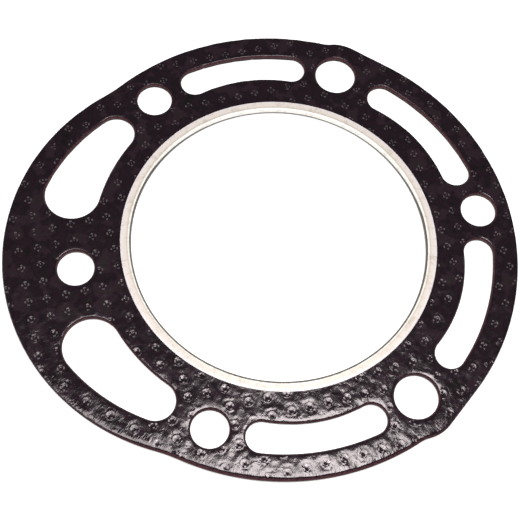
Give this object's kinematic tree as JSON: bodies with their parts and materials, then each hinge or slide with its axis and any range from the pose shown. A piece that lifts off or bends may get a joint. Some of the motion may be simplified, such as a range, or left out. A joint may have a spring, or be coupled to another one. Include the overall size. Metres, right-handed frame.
{
  "type": "cylinder head gasket",
  "caption": "Flat head gasket with dark fibre facings on a steel core, a folded steel fire ring round the bore, stud and dowel holes and curved water slots.",
  "frame": {"origin": "centre of the cylinder bore at half the thickness of the gasket", "axes": "+Z along the bore axis towards the cylinder head, +X in the plane of the gasket towards the stud hole opposite the wide water slots, +Y to the left of that"},
  "size_m": [0.1243, 0.1166, 0.002],
  "materials": {
    "facing": "glossy dark brown-black coated fibre sheet with small tang marks",
    "core": "plain mild steel sheet",
    "ring": "bright pale pressed steel"
  },
  "bodies": {
    "root": {"fire_ring": "ring", "upper_facing": "facing", "steel_core": "core", "lower_facing": "facing"}
  },
  "joints": []
}
